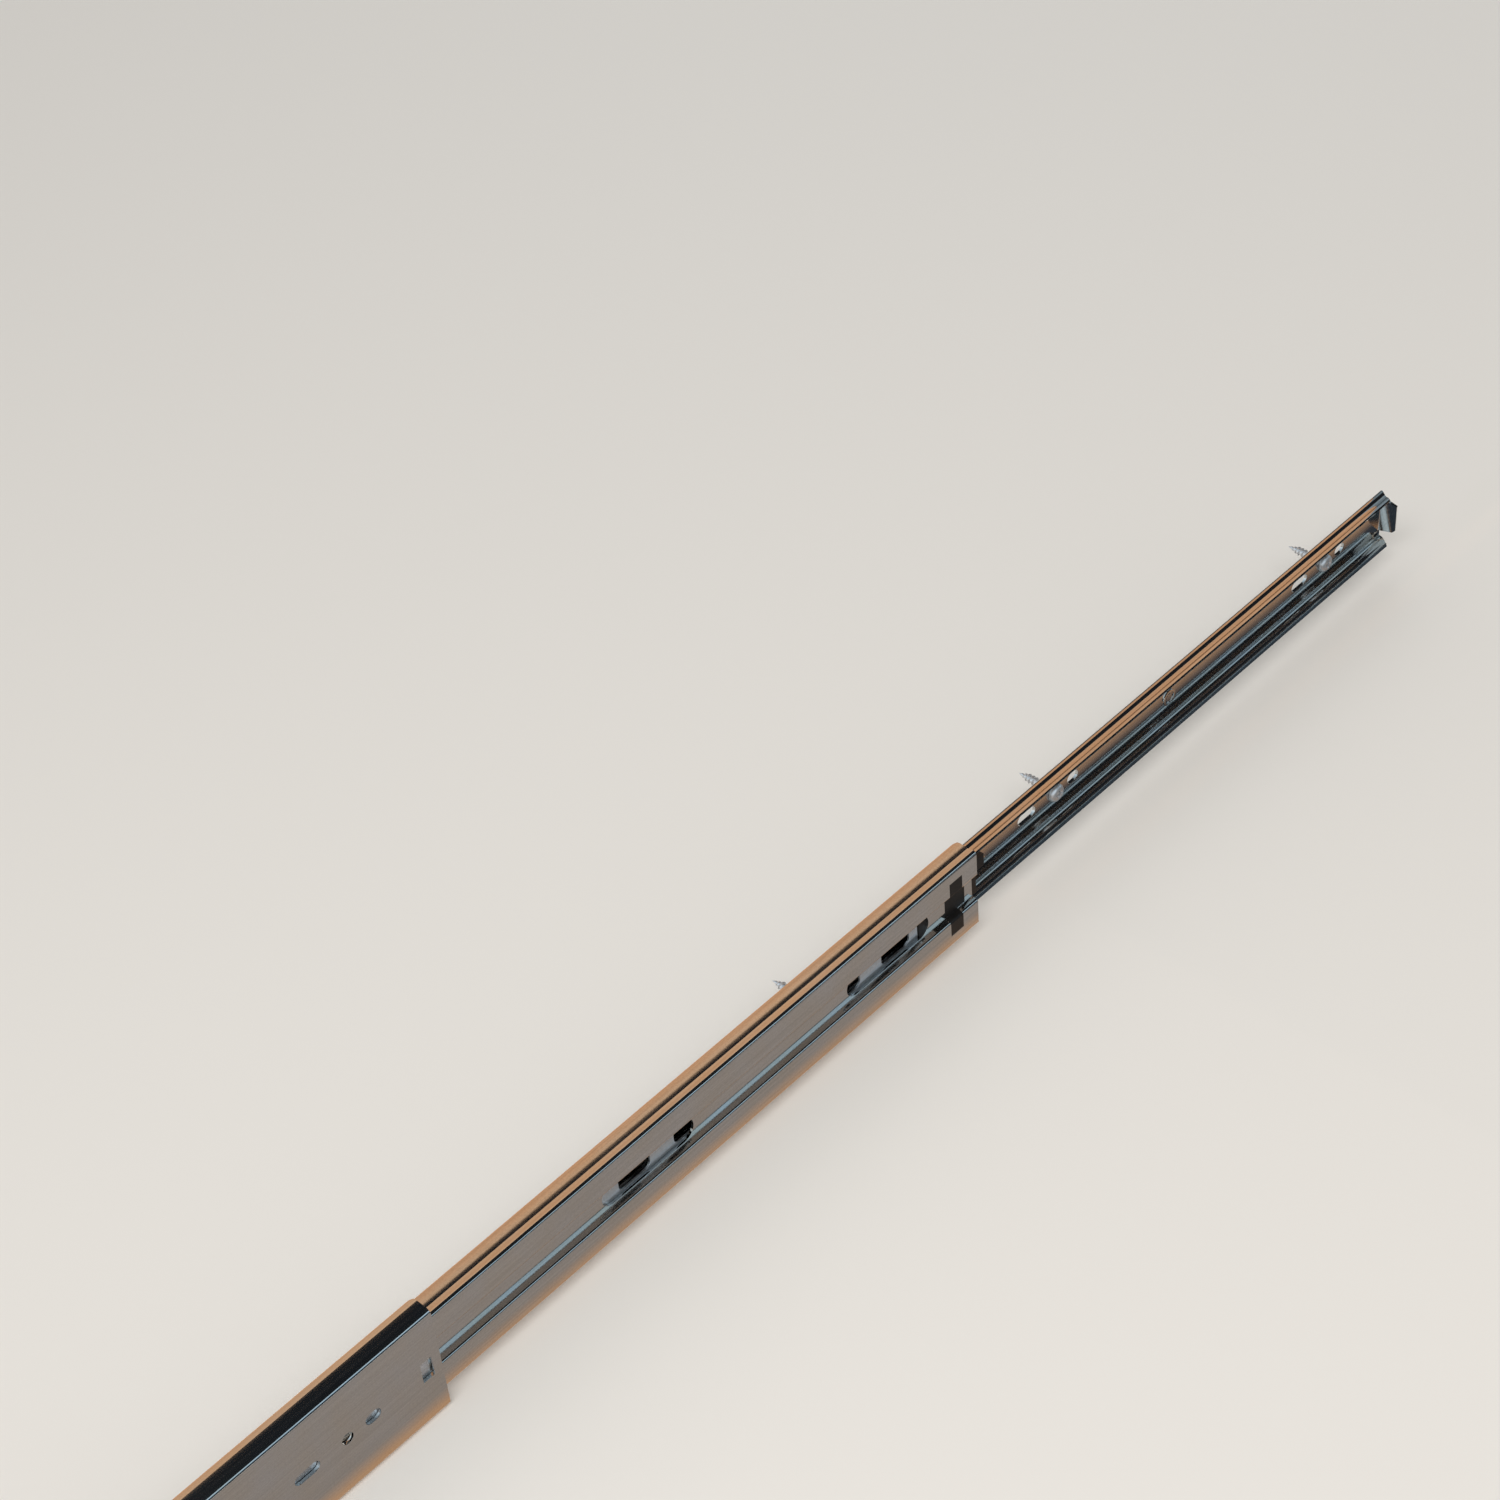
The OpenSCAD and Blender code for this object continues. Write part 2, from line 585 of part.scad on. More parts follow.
// A pan-head screw with a cross recess, driven into the drawer along Y
module drawer_screw(x) translate([x, inner_web_in, 0]) rotate([-90, 0, 0]) {
    difference() {
        union() {
            translate([0, 0, -screw_rim_h]) cylinder(d = screw_head_d, h = screw_rim_h, $fn = bore_fn);
            translate([0, 0, -screw_head_h])
                cylinder(d1 = screw_crown_d, d2 = screw_head_d, h = screw_head_h - screw_rim_h, $fn = bore_fn);
        }
        for (a = [0, 90]) rotate([0, 0, a])
            translate([-cross_l / 2, -cross_w / 2, -screw_head_h - 0.1])
                cube([cross_l, cross_w, cross_depth + 0.1]);
    }
    cylinder(d = screw_d, h = screw_l - screw_point_l, $fn = bore_fn);
    translate([0, 0, screw_l - screw_point_l])
        cylinder(d1 = screw_d, d2 = 0.4, h = screw_point_l, $fn = bore_fn);
}
module drawer_screws() color("white") for (x = screw_places) drawer_screw(x);

outer_member();
outer_rear_bumper();
outer_bumper_rivet();
outer_ball_cage();
outer_balls_upper();
outer_balls_lower();
middle_member();
middle_front_clip();
middle_rear_bumper();
middle_bumper_rivet();
inner_ball_cage();
inner_balls_upper();
inner_balls_lower();
inner_member();
drawer_screws();
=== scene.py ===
"""Looks of a three-section ball-bearing drawer slide, drawn fully open.

X runs in the opening direction, Y from the cabinet to the drawer and Z up, all in metres.
"""

import json
import math

import bmesh
import bpy
from mathutils import Matrix, Vector


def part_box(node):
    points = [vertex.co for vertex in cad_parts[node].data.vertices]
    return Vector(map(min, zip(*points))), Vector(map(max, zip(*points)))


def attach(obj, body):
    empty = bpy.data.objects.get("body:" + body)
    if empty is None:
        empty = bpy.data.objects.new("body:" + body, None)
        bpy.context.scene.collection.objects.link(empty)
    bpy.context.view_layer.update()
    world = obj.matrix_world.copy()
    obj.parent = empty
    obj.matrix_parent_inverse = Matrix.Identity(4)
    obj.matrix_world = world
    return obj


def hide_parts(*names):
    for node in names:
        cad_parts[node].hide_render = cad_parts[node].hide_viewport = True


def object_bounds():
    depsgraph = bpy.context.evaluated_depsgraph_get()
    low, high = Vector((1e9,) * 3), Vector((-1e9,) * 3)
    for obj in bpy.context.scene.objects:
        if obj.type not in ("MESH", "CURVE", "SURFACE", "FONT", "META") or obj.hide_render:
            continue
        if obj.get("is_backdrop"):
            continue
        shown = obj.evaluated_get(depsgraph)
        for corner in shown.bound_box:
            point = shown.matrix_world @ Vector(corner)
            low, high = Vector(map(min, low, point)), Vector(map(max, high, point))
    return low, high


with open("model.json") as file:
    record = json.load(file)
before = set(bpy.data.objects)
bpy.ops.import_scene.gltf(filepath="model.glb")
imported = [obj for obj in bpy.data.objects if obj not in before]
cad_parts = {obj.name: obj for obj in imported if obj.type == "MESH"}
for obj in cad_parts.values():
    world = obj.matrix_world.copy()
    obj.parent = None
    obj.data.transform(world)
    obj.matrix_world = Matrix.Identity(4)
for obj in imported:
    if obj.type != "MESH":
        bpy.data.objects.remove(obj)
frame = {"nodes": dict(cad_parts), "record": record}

bl_info = {
    "name": "Ball-bearing drawer slide",
    "version": (1, 0, 0),
    "blender": (4, 5, 0),
    "location": "View3D > Sidebar > Drawer Slide",
    "description": "Rolled rails, ball cages, balls, screws and plastic stops of a drawer slide",
    "category": "Object",
}

MM = 0.001
SAME_POINT = 0.002 * MM  # points closer than this are one
FLAT = math.radians(0.4)  # faces that meet at less than this are one flat face
CUT_EDGE = math.radians(38)  # edges sharper than this are rounded

# the stage
FLOOR_REACH = 30
FLOOR_GAP = 0.3 * MM  # from the floor up to the slide
CARD_GAP = 0.2 * MM  # from the floor up to the cards that lie on it
CARD_REACH = 1.2
CARD_Y = (-0.5, 0.008)
WALL_GAP = 0.6 * MM  # from the drawer face to the cards that stand behind it
WALL_Z = (12 * MM, 32.8 * MM)
CARD_SPLIT = 31 * MM  # past the middle member's front end, where the card on the floor changes
WALL_SPLIT = 6 * MM  # short of the drawer member's front end, where the standing card changes
LONG_LIGHT_ANGLE = math.radians(150)  # of the band of light that the steel mirrors, from +Y over +Z
LIGHT_TARGET = (0.17, 0, 0)
BODY_OF = {
    piece: body
    for body, pieces in frame["record"]["behaviour"]["bodies"].items()
    for piece in pieces
}


# ---- helpers ------------------------------------------------------------------
def linear(hex_text):
    """A six-digit sRGB colour as linear red, green and blue."""
    values = [int(hex_text[i : i + 2], 16) / 255 for i in (0, 2, 4)]
    return tuple(
        v / 12.92 if v <= 0.04045 else ((v + 0.055) / 1.055) ** 2.4 for v in values
    )


def rgba(colour):
    return (*colour[:3], 1.0)


def add_node(tree, kind, inputs=None, **settings):
    """Adds a node with its settings, and gives each named input a value or a link."""
    made = tree.nodes.new(kind)
    for key, value in settings.items():
        setattr(made, key, value)
    for socket, value in (inputs or {}).items():
        if isinstance(value, bpy.types.NodeSocket):
            tree.links.new(value, made.inputs[socket])
        else:
            made.inputs[socket].default_value = value
    return made


def place_stops(ramp, stops):
    """Gives a colour ramp these stops, (position, sRGB hex), in rising order."""
    elements = ramp.color_ramp.elements
    for element, (at, hue) in zip(elements, (stops[0], stops[-1])):
        element.position = at
        element.color = rgba(linear(hue))
    for at, hue in stops[1:-1]:
        elements.new(at).color = rgba(linear(hue))


def new_material(name):
    """An empty material, its tree and its output node."""
    material = bpy.data.materials.new(name)
    material.use_nodes = True
    material.node_tree.nodes.clear()
    output = add_node(material.node_tree, "ShaderNodeOutputMaterial")
    return material, material.node_tree, output


def add_object(name, mesh):
    made = bpy.data.objects.new(name, mesh)
    bpy.context.scene.collection.objects.link(made)
    return made


def stand_for(piece, *cad_nodes):
    """The piece takes the place of these CAD nodes, on their body."""
    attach(piece, BODY_OF[cad_nodes[0]])
    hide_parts(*cad_nodes)


def smooth(mesh):
    for face in mesh.polygons:
        face.use_smooth = True


# ---- materials ----------------------------------------------------------------
def zinc_plated_steel(name, colour, warm, roughness):
    """Cold-rolled strip with bright zinc plate: a hazy mirror with streaks along the rolling
    direction, faint clouds of a warmer colour from the passivation, and a fine plating grain."""
    material, tree, output = new_material(name)
    place = add_node(tree, "ShaderNodeTexCoord").outputs["Object"]
    # rolling streaks are about 0.2 mm apart; drawn 0.8 mm apart, 60 mm long, so that they show
    along = add_node(
        tree, "ShaderNodeMapping", {"Vector": place, "Scale": (1 / 0.06, 1 / 0.0008, 1 / 0.0008)}
    )
    streaks = add_node(
        tree,
        "ShaderNodeTexNoise",
        {"Vector": along.outputs["Vector"], "Scale": 1.0, "Detail": 4.0, "Roughness": 0.6},
    )
    # plating clouds, 14 mm across
    clouds = add_node(
        tree,
        "ShaderNodeTexNoise",
        {"Vector": place, "Scale": 1 / 0.014, "Detail": 3.0, "Roughness": 0.55},
    )
    # plating grain, 0.7 mm across
    grain = add_node(
        tree,
        "ShaderNodeTexNoise",
        {"Vector": place, "Scale": 1 / 0.0007, "Detail": 2.0, "Roughness": 0.6},
    )
    tint = add_node(
        tree,
        "ShaderNodeMix",
        {"Factor": clouds.outputs["Fac"], "A": rgba(colour), "B": rgba(warm)},
        data_type="RGBA",
    )
    shade = add_node(
        tree,
        "ShaderNodeMapRange",
        {
            "Value": streaks.outputs["Fac"],
            "From Min": 0.3,
            "From Max": 0.7,
            "To Min": 0.9,
            "To Max": 1.06,
        },
    )
    speckle = add_node(
        tree,
        "ShaderNodeMapRange",
        {
            "Value": grain.outputs["Fac"],
            "From Min": 0.35,
            "From Max": 0.65,
            "To Min": 0.94,
            "To Max": 1.04,
        },
    )
    both = add_node(
        tree,
        "ShaderNodeMath",
        {0: shade.outputs["Result"], 1: speckle.outputs["Result"]},
        operation="MULTIPLY",
    )
    coloured = add_node(
        tree,
        "ShaderNodeVectorMath",
        {0: tint.outputs["Result"], "Scale": both.outputs["Value"]},
        operation="SCALE",
    )
    haze = add_node(
        tree,
        "ShaderNodeMapRange",
        {
            "Value": streaks.outputs["Fac"],
            "From Min": 0.25,
            "From Max": 0.75,
            "To Min": roughness * 0.75,
            "To Max": roughness * 1.35,
        },
    )
    relief = add_node(
        tree,
        "ShaderNodeBump",
        {"Height": streaks.outputs["Fac"], "Strength": 0.05, "Distance": 0.00005},
    )
    fine_relief = add_node(
        tree,
        "ShaderNodeBump",
        {
            "Height": grain.outputs["Fac"],
            "Strength": 0.01,
            "Distance": 0.00004,
            "Normal": relief.outputs["Normal"],
        },
    )
    surface = add_node(
        tree,
        "ShaderNodeBsdfPrincipled",
        {
            "Base Color": coloured.outputs["Vector"],
            "Metallic": 1.0,
            "Roughness": haze.outputs["Result"],
            "Normal": fine_relief.outputs["Normal"],
        },
    )
    tree.links.new(surface.outputs["BSDF"], output.inputs["Surface"])
    return material


def polished_ball_steel(name, colour):
    """Hardened chrome steel, ground and lapped: close to a clean mirror, with a thin film of
    grease that hazes it in patches."""
    material, tree, output = new_material(name)
    place = add_node(tree, "ShaderNodeTexCoord").outputs["Object"]
    # patches of grease, 3 mm across
    film = add_node(
        tree, "ShaderNodeTexNoise", {"Vector": place, "Scale": 1 / 0.003, "Detail": 2.0}
    )
    haze = add_node(
        tree,
        "ShaderNodeMapRange",
        {
            "Value": film.outputs["Fac"],
            "From Min": 0.4,
            "From Max": 0.7,
            "To Min": 0.05,
            "To Max": 0.16,
        },
    )
    surface = add_node(
        tree,
        "ShaderNodeBsdfPrincipled",
        {"Base Color": rgba(colour), "Metallic": 1.0, "Roughness": haze.outputs["Result"]},
    )
    tree.links.new(surface.outputs["BSDF"], output.inputs["Surface"])
    return material


def zinc_plated_fastener(name, colour, roughness):
    """Cold-headed steel with bright zinc plate, barrel-plated: softer and more mottled than the
    rails, with small dents from tumbling. Its metallic value is below 1 so that the lights show
    on it too: a full metal would mirror only the dark room."""
    material, tree, output = new_material(name)
    place = add_node(tree, "ShaderNodeTexCoord").outputs["Object"]
    # mottling 1.2 mm across, dents 0.9 mm apart
    mottle = add_node(
        tree, "ShaderNodeTexNoise", {"Vector": place, "Scale": 1 / 0.0012, "Detail": 3.0}
    )
    dents = add_node(tree, "ShaderNodeTexVoronoi", {"Vector": place, "Scale": 1 / 0.0009})
    tint = add_node(
        tree,
        "ShaderNodeMix",
        {
            "Factor": mottle.outputs["Fac"],
            "A": rgba(colour),
            "B": rgba([channel * 0.78 for channel in colour]),
        },
        data_type="RGBA",
    )
    haze = add_node(
        tree,
        "ShaderNodeMapRange",
        {"Value": mottle.outputs["Fac"], "To Min": roughness * 0.7, "To Max": roughness * 1.4},
    )
    relief = add_node(
        tree,
        "ShaderNodeBump",
        {"Height": dents.outputs["Distance"], "Strength": 0.15, "Distance": 0.00006},
    )
    surface = add_node(
        tree,
        "ShaderNodeBsdfPrincipled",
        {
            "Base Color": tint.outputs["Result"],
            "Metallic": 0.7,
            "Roughness": haze.outputs["Result"],
            "Normal": relief.outputs["Normal"],
        },
    )
    tree.links.new(surface.outputs["BSDF"], output.inputs["Surface"])
    return material


def moulded_nylon(name, colour, worn):
    """Injection-moulded black nylon: a satin skin with spark-eroded grain, greyer where it has
    been rubbed. Its specular level is below the usual 0.5, which keeps it black in the pale room."""
    material, tree, output = new_material(name)
    place = add_node(tree, "ShaderNodeTexCoord").outputs["Object"]
    # spark-eroded grain is about 0.1 mm; drawn at 0.35 mm so that it shows
    grain = add_node(
        tree, "ShaderNodeTexNoise", {"Vector": place, "Scale": 1 / 0.00035, "Detail": 3.0}
    )
    # rubbed patches, 4 mm across
    rubbed = add_node(
        tree, "ShaderNodeTexNoise", {"Vector": place, "Scale": 1 / 0.004, "Detail": 4.0}
    )
    wear = add_node(
        tree,
        "ShaderNodeMapRange",
        {
            "Value": rubbed.outputs["Fac"],
            "From Min": 0.45,
            "From Max": 0.75,
            "To Min": 0.0,
            "To Max": 0.6,
        },
    )
    tint = add_node(
        tree,
        "ShaderNodeMix",
        {"Factor": wear.outputs["Result"], "A": rgba(colour), "B": rgba(worn)},
        data_type="RGBA",
    )
    haze = add_node(
        tree,
        "ShaderNodeMapRange",
        {"Value": grain.outputs["Fac"], "To Min": 0.4, "To Max": 0.6},
    )
    relief = add_node(
        tree,
        "ShaderNodeBump",
        {"Height": grain.outputs["Fac"], "Strength": 0.25, "Distance": 0.00006},
    )
    surface = add_node(
        tree,
        "ShaderNodeBsdfPrincipled",
        {
            "Base Color": tint.outputs["Result"],
            "Roughness": haze.outputs["Result"],
            "IOR": 1.53,
            "Specular IOR Level": 0.3,
            "Normal": relief.outputs["Normal"],
        },
    )
    tree.links.new(surface.outputs["BSDF"], output.inputs["Surface"])
    return material


def plain_paper(name, colour):
    """Matt studio paper."""
    material, tree, output = new_material(name)
    surface = add_node(
        tree, "ShaderNodeBsdfPrincipled", {"Base Color": rgba(colour), "Roughness": 0.9}
    )
    tree.links.new(surface.outputs["BSDF"], output.inputs["Surface"])
    return material


def painted_reflection_card(name, stops, axis, strength):
    """A studio reflector that glows with colours placed along one of its own axes, in metres: a
    painted reflection, since it lights nothing and only the steel mirrors it.
    """
    material, tree, output = new_material(name)
    place = add_node(tree, "ShaderNodeTexCoord").outputs["Object"]
    parts = add_node(tree, "ShaderNodeSeparateXYZ", {"Vector": place})
    low, high = stops[0][0], stops[-1][0]
    share = add_node(
        tree,
        "ShaderNodeMapRange",
        {"Value": parts.outputs[axis], "From Min": low, "From Max": high},
    )
    ramp = add_node(tree, "ShaderNodeValToRGB", {"Fac": share.outputs["Result"]})
    place_stops(ramp, [((at - low) / (high - low), hue) for at, hue in stops])
    # the glow is painted reflection, not a lamp
    glow = add_node(
        tree, "ShaderNodeEmission", {"Color": ramp.outputs["Color"], "Strength": strength}
    )
    tree.links.new(glow.outputs["Emission"], output.inputs["Surface"])
    return material


# ---- shapes -------------------------------------------------------------------
def merged_copy(cad_node, name):
    """The CAD node's mesh as one closed skin, with its flat faces in one piece each."""
    source = frame["nodes"][cad_node].data
    mesh = bpy.data.meshes.new(name)
    mesh.from_pydata(
        [v.co[:] for v in source.vertices], [], [f.vertices[:] for f in source.polygons]
    )
    work = bmesh.new()
    work.from_mesh(mesh)
    bmesh.ops.remove_doubles(work, verts=work.verts, dist=SAME_POINT)
    bmesh.ops.dissolve_degenerate(work, edges=work.edges, dist=SAME_POINT)
    bmesh.ops.dissolve_limit(work, angle_limit=FLAT, verts=work.verts, edges=work.edges)
    work.to_mesh(mesh)
    work.free()
    smooth(mesh)
    return add_object(name, mesh)


def finish_edges(piece, width, segments):
    """Rounds the cut edges, and keeps the flats flat and the bends smooth."""
    rounding = piece.modifiers.new("edge_rounding", "BEVEL")
    rounding.width = width
    rounding.segments = segments
    rounding.limit_method = "ANGLE"
    rounding.angle_limit = CUT_EDGE
    rounding.use_clamp_overlap = True
    weighting = piece.modifiers.new("flat_faces_first", "WEIGHTED_NORMAL")
    weighting.mode = "FACE_AREA"
    weighting.weight = 80
    weighting.keep_sharp = True


def plain_mesh(piece):
    """Turns a piece with modifiers into a plain mesh."""
    graph = bpy.context.evaluated_depsgraph_get()
    mesh = bpy.data.meshes.new_from_object(piece.evaluated_get(graph))
    mesh.name = piece.name
    piece.modifiers.clear()
    piece.data = mesh
    return piece


def part_from_cad(cad_node, name, material, edge_round, segments):
    """The CAD node's shape with rounded edges and this finish, which stands for the node."""
    piece = merged_copy(cad_node, name)
    finish_edges(piece, edge_round, segments)
    plain_mesh(piece)
    piece.data.materials.append(material)
    stand_for(piece, cad_node)


def turned(profile, segments):
    """A solid turned about Y, from (radius, y) pairs that start and end on the axis."""
    work = bmesh.new()
    rings = []
    for radius, y in profile:
        if radius == 0:
            rings.append([work.verts.new((0, y, 0))])
            continue
        angles = [2 * math.pi * i / segments for i in range(segments)]
        rings.append(
            [work.verts.new((radius * math.cos(a), y, radius * math.sin(a))) for a in angles]
        )
    for first, second in zip(rings, rings[1:]):
        for i in range(segments):
            j = (i + 1) % segments
            corners = [first[i % len(first)], first[j % len(first)]]
            corners += [second[j % len(second)], second[i % len(second)]]
            unique = list(dict.fromkeys(corners))
            if len(unique) > 2:
                work.faces.new(unique)
    bmesh.ops.recalc_face_normals(work, faces=work.faces)
    return work


def cut_away(piece, cutters):
    """Subtracts the cutters from the piece and removes them."""
    for cutter in cutters:
        step = piece.modifiers.new("cut", "BOOLEAN")
        step.operation = "DIFFERENCE"
        step.solver = "EXACT"
        step.object = cutter
    plain_mesh(piece)
    for cutter in cutters:
        bpy.data.objects.remove(cutter)


def tapered_bar(name, top, bottom, y_top, y_bottom):
    """A bar that narrows along Y, from half sizes (x, z) at the top and at the bottom."""
    work = bmesh.new()
    ends = []
    for (half_x, half_z), y in ((top, y_top), (bottom, y_bottom)):
        corners = ((-1, -1), (1, -1), (1, 1), (-1, 1))
        ends.append([work.verts.new((half_x * a, y, half_z * b)) for a, b in corners])
    work.faces.new(ends[0])
    work.faces.new(ends[1])
    for i in range(4):
        j = (i + 1) % 4
        work.faces.new([ends[0][i], ends[0][j], ends[1][j], ends[1][i]])
    bmesh.ops.recalc_face_normals(work, faces=work.faces)
    mesh = bpy.data.meshes.new(name)
    work.to_mesh(mesh)
    work.free()
    return add_object(name, mesh)


def threaded_shank(core, crest, pitch, start, length, point, sides):
    """Rings of points of a wood screw's shank along +Y, with its helical thread and its point."""
    rings_per_turn = 12
    half_ridge = 0.24  # of the pitch: half the width of the thread's foot
    rings = []
    steps = int(length / pitch * rings_per_turn)
    for step in range(steps + 1):
        y = start + (length - start) * step / steps
        narrowing = min(1.0, max(0.0, (length - y) / point))
        run_in = min(1.0, (y - start) / pitch)
        ring = []
        for i in range(sides):
            phase = (y / pitch - i / sides) % 1.0
            ridge = max(0.0, 1 - abs(phase - 0.5) / half_ridge)
            radius = (core + (crest - core) * ridge * run_in) * narrowing
            angle = 2 * math.pi * i / sides
            ring.append((radius * math.cos(angle), y, radius * math.sin(angle)))
        rings.append(ring)
    return rings


def wood_screw(settings):
    """A pan-head screw with a cross recess: its head is on the -Y side of the origin."""
    head, height = settings.head_diameter / 2, settings.head_height
    shank = settings.thread_diameter * 0.36  # radius of the thread's core
    neck = 1.5 * MM  # plain stretch under the head
    thread_start = 1.0 * MM
    point = 4.5 * MM
    profile = [
        (0, -height),
        (head * 0.52, -height),
        (head * 0.72, -height * 0.93),
        (head * 0.87, -height * 0.76),
        (head * 0.96, -height * 0.5),
        (head, -height * 0.25),
        (head * 0.985, -height * 0.08),
        (head * 0.94, 0),
        (shank, 0),
        (shank, neck),
        (0, neck),
    ]
    work = turned(profile, 40)
    mesh = bpy.data.meshes.new("screw_form")
    work.to_mesh(mesh)
    work.free()
    screw = add_object("screw_form", mesh)
    # the cross recess: two bars that narrow downwards, as (half length, half width)
    above, deep = -height - 0.2 * MM, -height + 1.5 * MM
    mouth = (head * 0.56, 0.5 * MM)
    bottom = (mouth[0] * 0.45, 0.32 * MM)
    wings = [
        tapered_bar("recess_wing", mouth[::-1], bottom[::-1], above, deep),
        tapered_bar("recess_wing", mouth, bottom, above, deep),
    ]
    cut_away(screw, wings)
    rings = threaded_shank(
        core=shank,
        crest=settings.thread_diameter / 2,
        pitch=settings.thread_pitch,
        start=thread_start,
        length=settings.length,
        point=point,
        sides=20,
    )
    work = bmesh.new()
    work.from_mesh(screw.data)
    made = [[work.verts.new(p) for p in ring] for ring in rings]
    for first, second in zip(made, made[1:]):
        for i in range(len(first)):
            j = (i + 1) % len(first)
            work.faces.new([first[i], second[i], second[j], first[j]])
    work.faces.new(made[0])
    bmesh.ops.remove_doubles(work, verts=made[-1], dist=1e-7)
    bmesh.ops.recalc_face_normals(work, faces=work.faces)
    work.to_mesh(screw.data)
    work.free()
    smooth(screw.data)
    screw.data.set_sharp_from_angle(angle=math.radians(32))
    return screw


def hollow_rivet(head_diameter, shank_diameter, shank_length, head_height):
    """A rivet along Y: its shank starts at the origin and its set head is at the +Y end."""
    head, shank, bore = head_diameter / 2, shank_diameter / 2, shank_diameter * 0.3
    top = shank_length + head_height
    profile = [
        (0, 0),
        (shank * 0.9, 0),
        (shank, 0.1 * MM),
        (shank, shank_length),
        (head * 0.96, shank_length),
        (head, shank_length + 0.25 * head_height),
        (head * 0.9, shank_length + 0.7 * head_height),
        (head * 0.68, top),
        (bore * 1.35, top),
        (bore, top - 0.15 * MM),
        (bore, shank_length + 0.5 * MM),
        (0, shank_length + 0.45 * MM),
    ]
    work = turned(profile, 32)
    mesh = bpy.data.meshes.new("rivet_form")
    work.to_mesh(mesh)
    work.free()
    smooth(mesh)
    mesh.set_sharp_from_angle(angle=math.radians(40))
    return add_object("rivet_form", mesh)


# ---- node trees ---------------------------------------------------------------
def new_tree(name, inputs):
    """A geometry tree with a mesh output and these named inputs."""
    tree = bpy.data.node_groups.new(name, "GeometryNodeTree")
    tree.interface.new_socket(
        "Geometry", in_out="OUTPUT", socket_type="NodeSocketGeometry"
    )
    for label, kind in inputs:
        tree.interface.new_socket(label, in_out="INPUT", socket_type=kind)
    return tree, add_node(tree, "NodeGroupInput"), add_node(tree, "NodeGroupOutput")


def grow(piece, tree, values):
    """Runs a tree on the piece with its inputs set, and makes the result a plain mesh."""
    step = piece.modifiers.new(tree.name, "NODES")
    step.node_group = tree
    for item in tree.interface.items_tree:
        if item.in_out == "INPUT" and item.name in values:
            step[item.identifier] = values[item.name]
    return plain_mesh(piece)


def ball_row_tree():
    """Balls at equal spacing along X."""
    tree, given, result = new_tree(
        "ball_row",
        (
            ("Geometry", "NodeSocketGeometry"),
            ("Count", "NodeSocketInt"),
            ("Pitch", "NodeSocketFloat"),
            ("Radius", "NodeSocketFloat"),
            ("Start", "NodeSocketVector"),
            ("Material", "NodeSocketMaterial"),
        ),
    )
    step = add_node(tree, "ShaderNodeCombineXYZ", {"X": given.outputs["Pitch"]})
    line = add_node(
        tree,
        "GeometryNodeMeshLine",
        {
            "Count": given.outputs["Count"],
            "Start Location": given.outputs["Start"],
            "Offset": step.outputs["Vector"],
        },
        mode="OFFSET",
    )
    ball = add_node(
        tree,
        "GeometryNodeMeshUVSphere",
        {"Segments": 32, "Rings": 18, "Radius": given.outputs["Radius"]},
    )
    rounded = add_node(tree, "GeometryNodeSetShadeSmooth", {"Geometry": ball.outputs["Mesh"]})
    placed = add_node(
        tree,
        "GeometryNodeInstanceOnPoints",
        {"Points": line.outputs["Mesh"], "Instance": rounded.outputs["Geometry"]},
    )
    real = add_node(
        tree, "GeometryNodeRealizeInstances", {"Geometry": placed.outputs["Instances"]}
    )
    painted = add_node(
        tree,
        "GeometryNodeSetMaterial",
        {"Geometry": real.outputs["Geometry"], "Material": given.outputs["Material"]},
    )
    tree.links.new(painted.outputs["Geometry"], result.inputs["Geometry"])
    return tree


def fastener_tree():
    """Copies of one fastener at the piece's own points."""
    tree, given, result = new_tree(
        "fasteners_at_points",
        (
            ("Geometry", "NodeSocketGeometry"),
            ("Fastener", "NodeSocketObject"),
            ("Material", "NodeSocketMaterial"),
        ),
    )
    form = add_node(
        tree,
        "GeometryNodeObjectInfo",
        {"Object": given.outputs["Fastener"], "As Instance": False},
        transform_space="ORIGINAL",
    )
    placed = add_node(
        tree,
        "GeometryNodeInstanceOnPoints",
        {"Points": given.outputs["Geometry"], "Instance": form.outputs["Geometry"]},
    )
    real = add_node(
        tree, "GeometryNodeRealizeInstances", {"Geometry": placed.outputs["Instances"]}
    )
    painted = add_node(
        tree,
        "GeometryNodeSetMaterial",
        {"Geometry": real.outputs["Geometry"], "Material": given.outputs["Material"]},
    )
    tree.links.new(painted.outputs["Geometry"], result.inputs["Geometry"])
    return tree


def fasteners_at(name, form, points, material):
    """One piece that holds a copy of the form at each point."""
    mesh = bpy.data.meshes.new(name)
    mesh.from_pydata([tuple(p) for p in points], [], [])
    piece = add_object(name, mesh)
    return grow(piece, fastener_tree(), {"Fastener": form, "Material": material})


# ---- settings -----------------------------------------------------------------
class RailSettings(bpy.types.PropertyGroup):
    edge_round: bpy.props.FloatProperty(
        name="Edge rounding",
        description="Rounding of the sheared edges",
        default=0.28 * MM,
        unit="LENGTH",
    )
    zinc: bpy.props.FloatVectorProperty(
        name="Zinc",
        description="Colour of the bright zinc plate",
        subtype="COLOR",
        default=linear("cdd1d6"),
    )
    straw: bpy.props.FloatVectorProperty(
        name="Straw",
        description="Warmer clouds in the plate",
        subtype="COLOR",
        default=linear("cfc9be"),
    )
    roughness: bpy.props.FloatProperty(
        name="Roughness", description="Haze of the plate", default=0.09, min=0.0, max=1.0
    )


